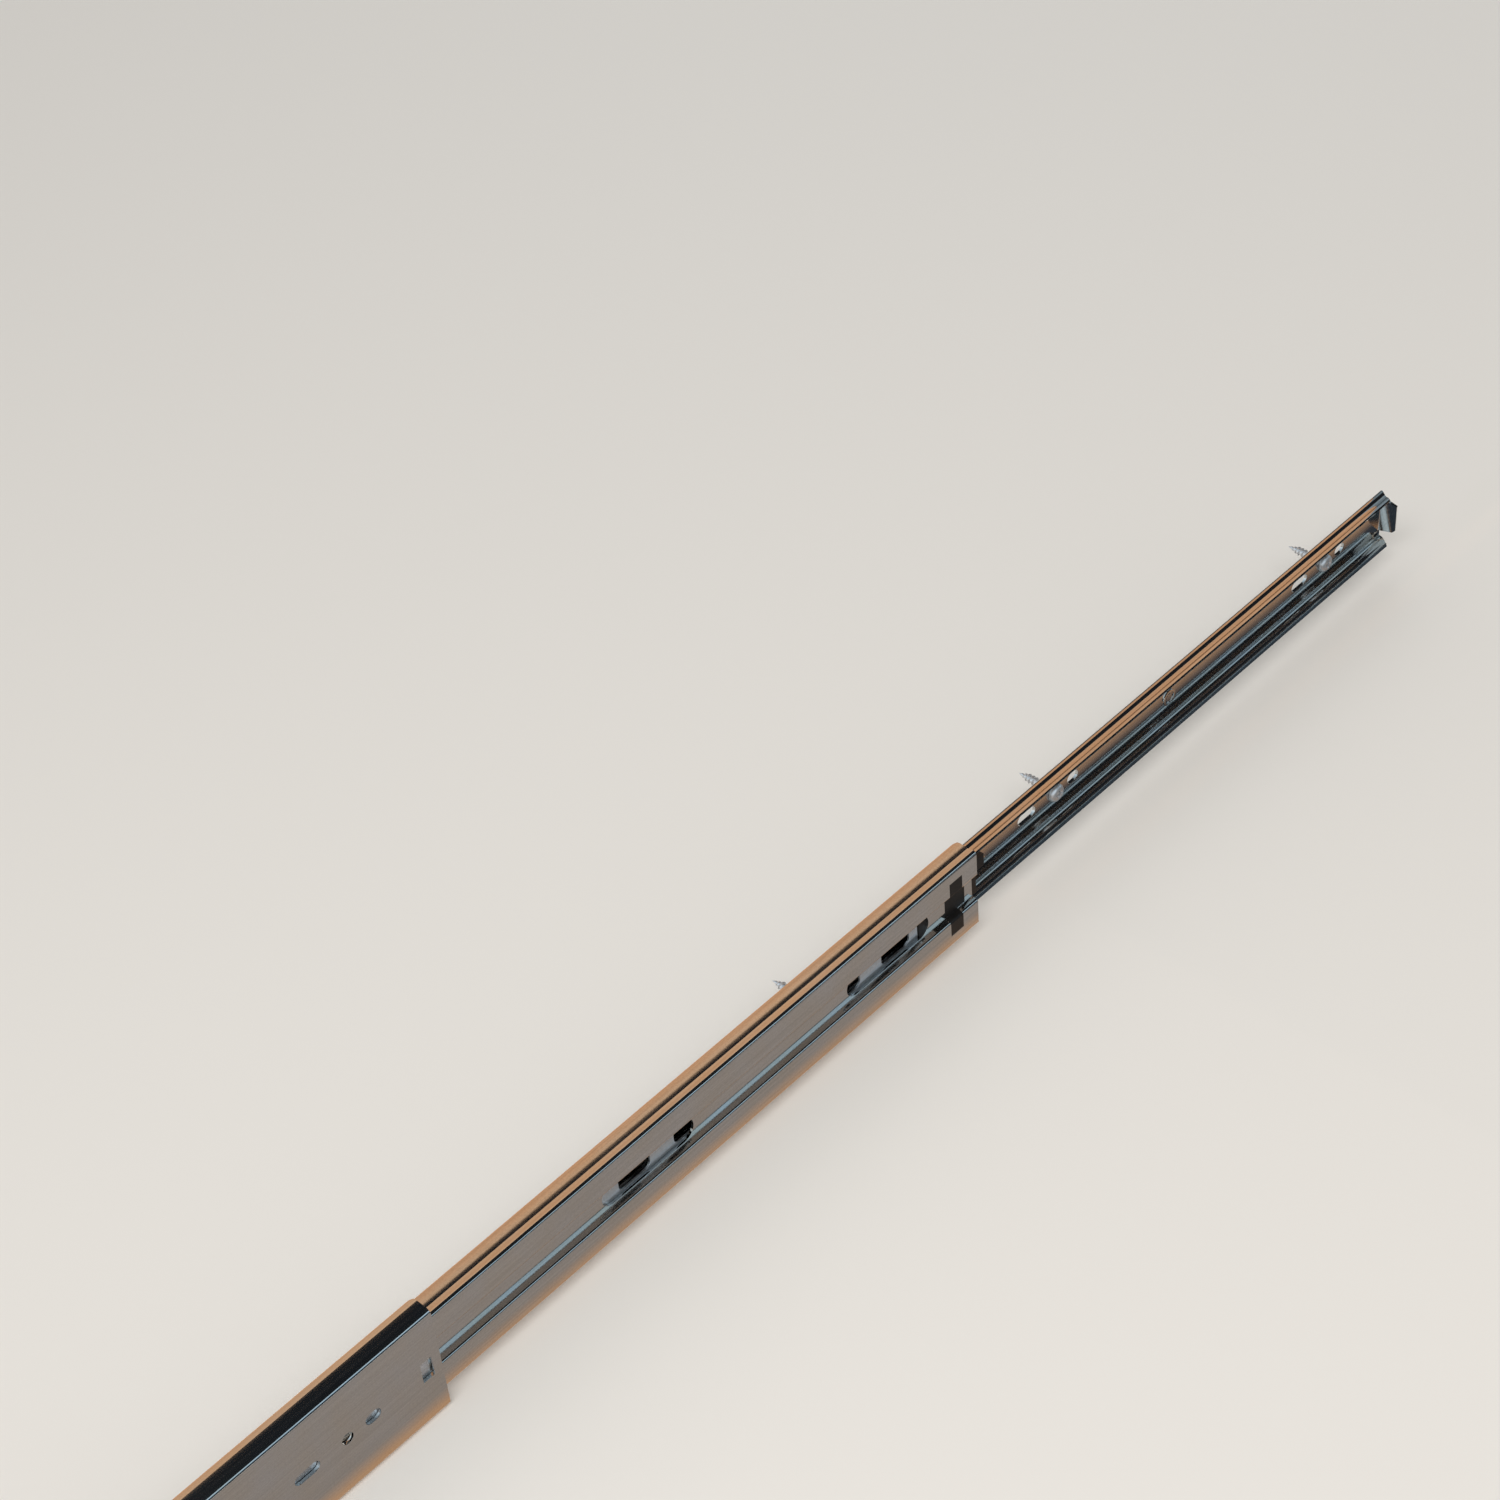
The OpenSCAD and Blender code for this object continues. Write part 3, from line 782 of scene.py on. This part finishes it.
class CageSettings(bpy.types.PropertyGroup):
    edge_round: bpy.props.FloatProperty(
        name="Edge rounding",
        description="Rounding of the punched edges",
        default=0.08 * MM,
        unit="LENGTH",
    )
    zinc: bpy.props.FloatVectorProperty(
        name="Zinc",
        description="Colour of the cages' plate",
        subtype="COLOR",
        default=linear("e2e7ec"),
    )
    roughness: bpy.props.FloatProperty(
        name="Roughness", description="Haze of the cages' plate", default=0.42, min=0.0, max=1.0
    )


class BallSettings(bpy.types.PropertyGroup):
    pitch: bpy.props.FloatProperty(
        name="Pitch",
        description="Spacing of the balls along a cage",
        default=21 * MM,
        unit="LENGTH",
    )
    steel: bpy.props.FloatVectorProperty(
        name="Steel",
        description="Colour of the polished balls",
        subtype="COLOR",
        default=linear("dedfe0"),
    )


class ScrewSettings(bpy.types.PropertyGroup):
    head_diameter: bpy.props.FloatProperty(
        name="Head diameter", description="Across the pan head", default=7 * MM, unit="LENGTH"
    )
    head_height: bpy.props.FloatProperty(
        name="Head height", description="Height of the pan head", default=2.1 * MM, unit="LENGTH"
    )
    thread_diameter: bpy.props.FloatProperty(
        name="Thread diameter",
        description="Over the thread's crests",
        default=3.5 * MM,
        unit="LENGTH",
    )
    thread_pitch: bpy.props.FloatProperty(
        name="Thread pitch",
        description="From one crest to the next",
        default=1.5 * MM,
        unit="LENGTH",
    )
    length: bpy.props.FloatProperty(
        name="Length", description="Under the head", default=16 * MM, unit="LENGTH"
    )
    zinc: bpy.props.FloatVectorProperty(
        name="Zinc",
        description="Colour of the screws",
        subtype="COLOR",
        default=linear("e3e4e6"),
    )
    roughness: bpy.props.FloatProperty(
        name="Roughness", description="Haze of the screws' plate", default=0.34, min=0.0, max=1.0
    )


class RivetSettings(bpy.types.PropertyGroup):
    head_diameter: bpy.props.FloatProperty(
        name="Head diameter", description="Across the set head", default=5.6 * MM, unit="LENGTH"
    )
    head_height: bpy.props.FloatProperty(
        name="Head height", description="Height of the set head", default=1.1 * MM, unit="LENGTH"
    )
    shank_diameter: bpy.props.FloatProperty(
        name="Shank diameter", description="Across the shank", default=3 * MM, unit="LENGTH"
    )
    steel: bpy.props.FloatVectorProperty(
        name="Steel",
        description="Colour of the rivets",
        subtype="COLOR",
        default=linear("c4c6c8"),
    )
    roughness: bpy.props.FloatProperty(
        name="Roughness", description="Haze of the rivets' plate", default=0.3, min=0.0, max=1.0
    )


class PlasticSettings(bpy.types.PropertyGroup):
    edge_round: bpy.props.FloatProperty(
        name="Edge rounding",
        description="Rounding of the moulded edges",
        default=0.25 * MM,
        unit="LENGTH",
    )
    nylon: bpy.props.FloatVectorProperty(
        name="Nylon",
        description="Colour of the moulded stops",
        subtype="COLOR",
        default=linear("141211"),
    )
    worn: bpy.props.FloatVectorProperty(
        name="Worn nylon",
        description="Colour where the stops are rubbed",
        subtype="COLOR",
        default=linear("1f1c1a"),
    )


class StageSettings(bpy.types.PropertyGroup):
    floor: bpy.props.FloatVectorProperty(
        name="Floor",
        description="Colour of the floor paper",
        subtype="COLOR",
        default=linear("ece8e2"),
    )
    key_light: bpy.props.FloatProperty(
        name="Key light", description="Power of the large soft light", default=13.0, unit="POWER"
    )
    fill_light: bpy.props.FloatProperty(
        name="Fill light", description="Power of the second soft light", default=1.7, unit="POWER"
    )
    focal_length: bpy.props.FloatProperty(
        name="Focal length", description="Of the camera, in millimetres", default=75.31
    )


# ---- operators ----------------------------------------------------------------
class SLIDE_OT_rails(bpy.types.Operator):
    """Makes the cabinet, middle and drawer members of rolled, zinc-plated strip"""

    bl_idname = "slide.rails"
    bl_label = "Rails"

    def execute(self, context):
        settings = context.scene.slide_rails
        zinc = zinc_plated_steel(
            "bright_zinc_on_rolled_steel", settings.zinc, settings.straw, settings.roughness
        )
        for cad_node, name in (
            ("outer_member", "cabinet_rail"),
            ("middle_member", "middle_rail"),
            ("inner_member", "drawer_rail"),
        ):
            part_from_cad(cad_node, name, zinc, settings.edge_round, segments=2)
        return {"FINISHED"}


class SLIDE_OT_cages(bpy.types.Operator):
    """Makes the punched strip cages that hold the balls"""

    bl_idname = "slide.cages"
    bl_label = "Ball cages"

    def execute(self, context):
        settings = context.scene.slide_cages
        zinc = zinc_plated_steel(
            "satin_zinc_on_cage_strip", settings.zinc, settings.zinc, settings.roughness
        )
        for cad_node in ("outer_ball_cage", "inner_ball_cage"):
            name = cad_node + "_strip"
            part_from_cad(cad_node, name, zinc, settings.edge_round, segments=1)
        return {"FINISHED"}


class SLIDE_OT_balls(bpy.types.Operator):
    """Makes the four rows of polished steel balls"""

    bl_idname = "slide.balls"
    bl_label = "Balls"

    def execute(self, context):
        settings = context.scene.slide_balls
        steel = polished_ball_steel("polished_chrome_steel", settings.steel)
        tree = ball_row_tree()
        for side in ("outer", "inner"):
            for row in ("upper", "lower"):
                cad_node = f"{side}_balls_{row}"
                low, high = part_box(cad_node)
                middle = (low + high) / 2
                radius = (high.z - low.z) / 2
                count = round((high.x - low.x - 2 * radius) / settings.pitch) + 1
                name = f"{side}_{row}_ball_row"
                balls = add_object(name, bpy.data.meshes.new(name))
                grow(
                    balls,
                    tree,
                    {
                        "Count": count,
                        "Pitch": settings.pitch,
                        "Radius": radius,
                        "Start": (low.x + radius, middle.y, middle.z),
                        "Material": steel,
                    },
                )
                stand_for(balls, cad_node)
        return {"FINISHED"}


class SLIDE_OT_screws(bpy.types.Operator):
    """Makes the pan-head screws that hold the drawer member"""

    bl_idname = "slide.screws"
    bl_label = "Drawer screws"

    def execute(self, context):
        settings = context.scene.slide_screws
        zinc = zinc_plated_fastener("bright_zinc_on_screws", settings.zinc, settings.roughness)
        low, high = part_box("drawer_screws")
        seat = low.y + settings.head_height
        # the heads' points along X, in one group for each screw
        cad_points = frame["nodes"]["drawer_screws"].data.vertices
        heads = sorted(v.co.x for v in cad_points if v.co.y < seat)
        groups = [[heads[0]]]
        for x in heads[1:]:
            if x - groups[-1][-1] > settings.head_diameter:
                groups.append([])
            groups[-1].append(x)
        height = (low.z + high.z) / 2
        points = [((group[0] + group[-1]) / 2, seat, height) for group in groups]
        form = wood_screw(settings)
        screws = fasteners_at("drawer_screw_set", form, points, zinc)
        bpy.data.objects.remove(form)
        stand_for(screws, "drawer_screws")
        return {"FINISHED"}


class SLIDE_OT_rivets(bpy.types.Operator):
    """Makes the rivets that hold the two rear bumpers"""

    bl_idname = "slide.rivets"
    bl_label = "Rivets"

    def execute(self, context):
        settings = context.scene.slide_rivets
        steel = zinc_plated_fastener("satin_zinc_on_rivets", settings.steel, settings.roughness)
        for side in ("outer", "middle"):
            cad_node = f"{side}_bumper_rivet"
            low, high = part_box(cad_node)
            form = hollow_rivet(
                settings.head_diameter,
                settings.shank_diameter,
                high.y - low.y - settings.head_height,
                settings.head_height,
            )
            middle = (low + high) / 2
            rivet = fasteners_at(
                f"{side}_stop_rivet", form, [(middle.x, low.y, middle.z)], steel
            )
            bpy.data.objects.remove(form)
            stand_for(rivet, cad_node)
        return {"FINISHED"}


class SLIDE_OT_plastic(bpy.types.Operator):
    """Makes the moulded front clip and rear bumpers"""

    bl_idname = "slide.plastic"
    bl_label = "Plastic stops"

    def execute(self, context):
        settings = context.scene.slide_plastic
        nylon = moulded_nylon("moulded_black_nylon", settings.nylon, settings.worn)
        for cad_node, name in (
            ("middle_front_clip", "front_stop_clip"),
            ("outer_rear_bumper", "cabinet_rail_bumper"),
            ("middle_rear_bumper", "middle_rail_bumper"),
        ):
            part_from_cad(cad_node, name, nylon, settings.edge_round, segments=3)
        return {"FINISHED"}


def flat_card(name, corners, material):
    """A flat sheet of the stage."""
    mesh = bpy.data.meshes.new(name)
    mesh.from_pydata(corners, [], [tuple(range(len(corners)))])
    mesh.materials.append(material)
    card = add_object(name, mesh)
    card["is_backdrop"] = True
    return card


def reflector(name, corners, material):
    """A card that only shows as a reflection in the steel."""
    card = flat_card(name, corners, material)
    card.visible_camera = False
    card.visible_diffuse = False
    card.visible_shadow = False
    card.visible_transmission = False
    card.visible_volume_scatter = False
    return card


def soft_light(name, place, size, power, colour):
    """A rectangular light that the steel doesn't mirror: the cards and the room do that."""
    light = bpy.data.lights.new(name, "AREA")
    light.shape = "RECTANGLE"
    light.size, light.size_y = size
    light.energy = power
    light.color = linear(colour)
    made = bpy.data.objects.new(name, light)
    bpy.context.scene.collection.objects.link(made)
    made.location = place
    made.rotation_mode = "QUATERNION"
    made.rotation_quaternion = (Vector(LIGHT_TARGET) - Vector(place)).to_track_quat("-Z", "Y")
    made.visible_glossy = False


def studio_surroundings():
    """A pale room for what the camera and the matt surfaces see, and for what the steel mirrors
    a dark one with a band of soft light along X."""
    world = bpy.data.worlds.new("studio")
    bpy.context.scene.world = world
    world.use_nodes = True
    tree = world.node_tree
    tree.nodes.clear()
    direction = add_node(tree, "ShaderNodeTexCoord").outputs["Generated"]
    # -1 below the band of light, 0 along it and 1 above it
    across = add_node(
        tree,
        "ShaderNodeVectorMath",
        {0: direction, 1: (0.0, math.sin(LONG_LIGHT_ANGLE), -math.cos(LONG_LIGHT_ANGLE))},
        operation="DOT_PRODUCT",
    )
    place = add_node(
        tree,
        "ShaderNodeMapRange",
        {"Value": across.outputs["Value"], "From Min": -1.0, "From Max": 1.0},
    )
    dark_end = add_node(tree, "ShaderNodeValToRGB", {"Fac": place.outputs["Result"]})
    stops = (
        (0.0, "3a434a"),
        (0.2, "1b2127"),
        (0.41, "1d252c"),
        (0.43, "6d8290"),
        (0.56, "9db2bf"),
        (0.585, "101316"),
        (1.0, "121417"),
    )
    place_stops(dark_end, stops)
    # the end of the room towards the cabinet is pale, and dimmer overhead
    parts = add_node(tree, "ShaderNodeSeparateXYZ", {"Vector": direction})
    pale_end = add_node(tree, "ShaderNodeValToRGB", {"Fac": parts.outputs["Z"]})
    place_stops(pale_end, ((0.0, "b6c0c6"), (0.45, "9eaeb9"), (1.0, "67747d")))
    end = add_node(
        tree,
        "ShaderNodeMapRange",
        {"Value": parts.outputs["X"], "From Min": 0.02, "From Max": 0.26},
        interpolation_type="SMOOTHSTEP",
    )
    room = add_node(
        tree,
        "ShaderNodeMix",
        {
            "Factor": end.outputs["Result"],
            "A": pale_end.outputs["Color"],
            "B": dark_end.outputs["Color"],
        },
        data_type="RGBA",
    )
    mirrored = add_node(
        tree, "ShaderNodeBackground", {"Color": room.outputs["Result"], "Strength": 2.2}
    )
    pale = add_node(
        tree, "ShaderNodeBackground", {"Color": rgba(linear("f1efec")), "Strength": 0.6}
    )
    ray = add_node(tree, "ShaderNodeLightPath")
    mixed = add_node(
        tree,
        "ShaderNodeMixShader",
        {
            0: ray.outputs["Is Glossy Ray"],
            1: pale.outputs["Background"],
            2: mirrored.outputs["Background"],
        },
    )
    output = add_node(tree, "ShaderNodeOutputWorld")
    tree.links.new(mixed.outputs["Shader"], output.inputs["Surface"])


def lying_sheet(x, y, z):
    """Corners of a level sheet, from its limits along X and Y and its height."""
    return [(x[0], y[0], z), (x[1], y[0], z), (x[1], y[1], z), (x[0], y[1], z)]


def standing_sheet(x, y, z):
    """Corners of an upright sheet that faces -Y, from its limits along X and Z and its Y."""
    return [(x[0], y, z[0]), (x[1], y, z[0]), (x[1], y, z[1]), (x[0], y, z[1])]


def set_reflectors(ground):
    """Cards that only the steel mirrors, painted reflections of wooden surroundings: brown and slate
    ones on the floor for the webs, and tan and grey ones that stand behind the drawer face for the
    flanges."""
    shelf = ground + CARD_GAP
    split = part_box("middle_member")[1].x + CARD_SPLIT
    # painted reflections on the floor cards: tan bands for wood near the rails, grey-brown and slate
    # for darker surroundings
    painted_reflection_brown_stops = (
        (-0.5, "8d8783"),
        (-0.03, "a39a94"),
        (-0.0048, "a0968f"),
        (-0.003, "cda583"),
        (0.012, "d2a27c"),
    )
    painted_reflection_slate_stops = (
        (-0.5, "39434c"),
        (-0.014, "39434c"),
        (-0.010, "b08a6c"),
        (-0.0052, "c09a7a"),
        (-0.003, "363f49"),
        (0.012, "262d35"),
    )
    reflector(
        "warm_card_at_middle_rail",
        lying_sheet((-CARD_REACH, split), CARD_Y, shelf),
        painted_reflection_card("warm_card", painted_reflection_brown_stops, "Y", 1.0),
    )
    reflector(
        "tan_card_at_drawer_rail",
        lying_sheet((split, CARD_REACH), CARD_Y, shelf),
        painted_reflection_card("tan_card", painted_reflection_slate_stops, "Y", 1.0),
    )
    foot, top = WALL_Z
    drawer_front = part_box("inner_member")[1]
    back = drawer_front.y + WALL_GAP
    end = drawer_front.x - WALL_SPLIT
    # painted reflections on the standing cards: a tan glow for wood behind the drawer face, a grey
    # one past the drawer member's end
    reflector(
        "warm_wall_card",
        standing_sheet((-CARD_REACH, end), back, WALL_Z),
        painted_reflection_card("wall_card", ((foot, "cf9d76"), (top, "dcb592")), "Z", 1.15),
    )
    reflector(
        "cool_wall_card",
        standing_sheet((end, CARD_REACH), back, WALL_Z),
        painted_reflection_card("cool_card", ((foot, "76858f"), (top, "a3b4bf")), "Z", 1.0),
    )


def set_camera(context, focal_length):
    """The camera, from its place and from its own axes in the slide's frame."""
    data = bpy.data.cameras.new("camera")
    data.sensor_width = 36
    data.lens = focal_length
    data.clip_start, data.clip_end = 0.01, 50
    camera = bpy.data.objects.new("camera", data)
    context.scene.collection.objects.link(camera)
    right = Vector((0.67593419, -0.73335044, -0.07287045))
    down = Vector((-0.52727873, -0.41216389, -0.74303302))
    ahead = Vector((0.51486903, 0.54066445, -0.66527576))
    turn = Matrix((right, -down, -ahead)).transposed()
    camera.rotation_mode = "QUATERNION"
    camera.rotation_quaternion = turn.to_quaternion()
    camera.location = (-0.31974, -0.49233, 0.74096)
    context.scene.camera = camera


class SLIDE_OT_stage(bpy.types.Operator):
    """Lays the floor, and sets the lights, the reflectors and the camera"""

    bl_idname = "slide.stage"
    bl_label = "Stage"

    def execute(self, context):
        settings = context.scene.slide_stage
        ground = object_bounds()[0].z - FLOOR_GAP
        reach = (-FLOOR_REACH, FLOOR_REACH)
        paper = plain_paper("pale_studio_paper", settings.floor)
        flat_card("floor", lying_sheet(reach, reach, ground), paper)
        set_reflectors(ground)
        studio_surroundings()
        soft_light("key_light", (-0.5, -0.55, 1.35), (1.3, 0.5), settings.key_light, "ffffff")
        soft_light("fill_light", (1.2, 0.7, 0.9), (0.7, 0.7), settings.fill_light, "cfe0ee")
        set_camera(context, settings.focal_length)
        context.scene.view_settings.view_transform = "Standard"
        return {"FINISHED"}


class SLIDE_PT_panel(bpy.types.Panel):
    bl_idname = "SLIDE_PT_panel"
    bl_label = "Drawer Slide"
    bl_space_type = "VIEW_3D"
    bl_region_type = "UI"
    bl_category = "Drawer Slide"

    def draw(self, context):
        for operator, group in STEPS:
            box = self.layout.box()
            box.operator(operator.bl_idname)
            settings = getattr(context.scene, group)
            for name in settings.__annotations__:
                box.prop(settings, name)


STEPS = (
    (SLIDE_OT_rails, "slide_rails"),
    (SLIDE_OT_cages, "slide_cages"),
    (SLIDE_OT_balls, "slide_balls"),
    (SLIDE_OT_screws, "slide_screws"),
    (SLIDE_OT_rivets, "slide_rivets"),
    (SLIDE_OT_plastic, "slide_plastic"),
    (SLIDE_OT_stage, "slide_stage"),
)
GROUPS = (
    (RailSettings, "slide_rails"),
    (CageSettings, "slide_cages"),
    (BallSettings, "slide_balls"),
    (ScrewSettings, "slide_screws"),
    (RivetSettings, "slide_rivets"),
    (PlasticSettings, "slide_plastic"),
    (StageSettings, "slide_stage"),
)


def register():
    for group, name in GROUPS:
        bpy.utils.register_class(group)
        setattr(bpy.types.Scene, name, bpy.props.PointerProperty(type=group))
    for operator, _ in STEPS:
        bpy.utils.register_class(operator)
    bpy.utils.register_class(SLIDE_PT_panel)


def unregister():
    bpy.utils.unregister_class(SLIDE_PT_panel)
    for operator, _ in reversed(STEPS):
        bpy.utils.unregister_class(operator)
    for group, name in reversed(GROUPS):
        delattr(bpy.types.Scene, name)
        bpy.utils.unregister_class(group)


def main():
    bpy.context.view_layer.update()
    register()
    bpy.ops.slide.rails()
    bpy.ops.slide.cages()
    bpy.ops.slide.balls()
    bpy.ops.slide.screws()
    bpy.ops.slide.rivets()
    bpy.ops.slide.plastic()
    bpy.ops.slide.stage()


if __name__ == "__main__":
    main()
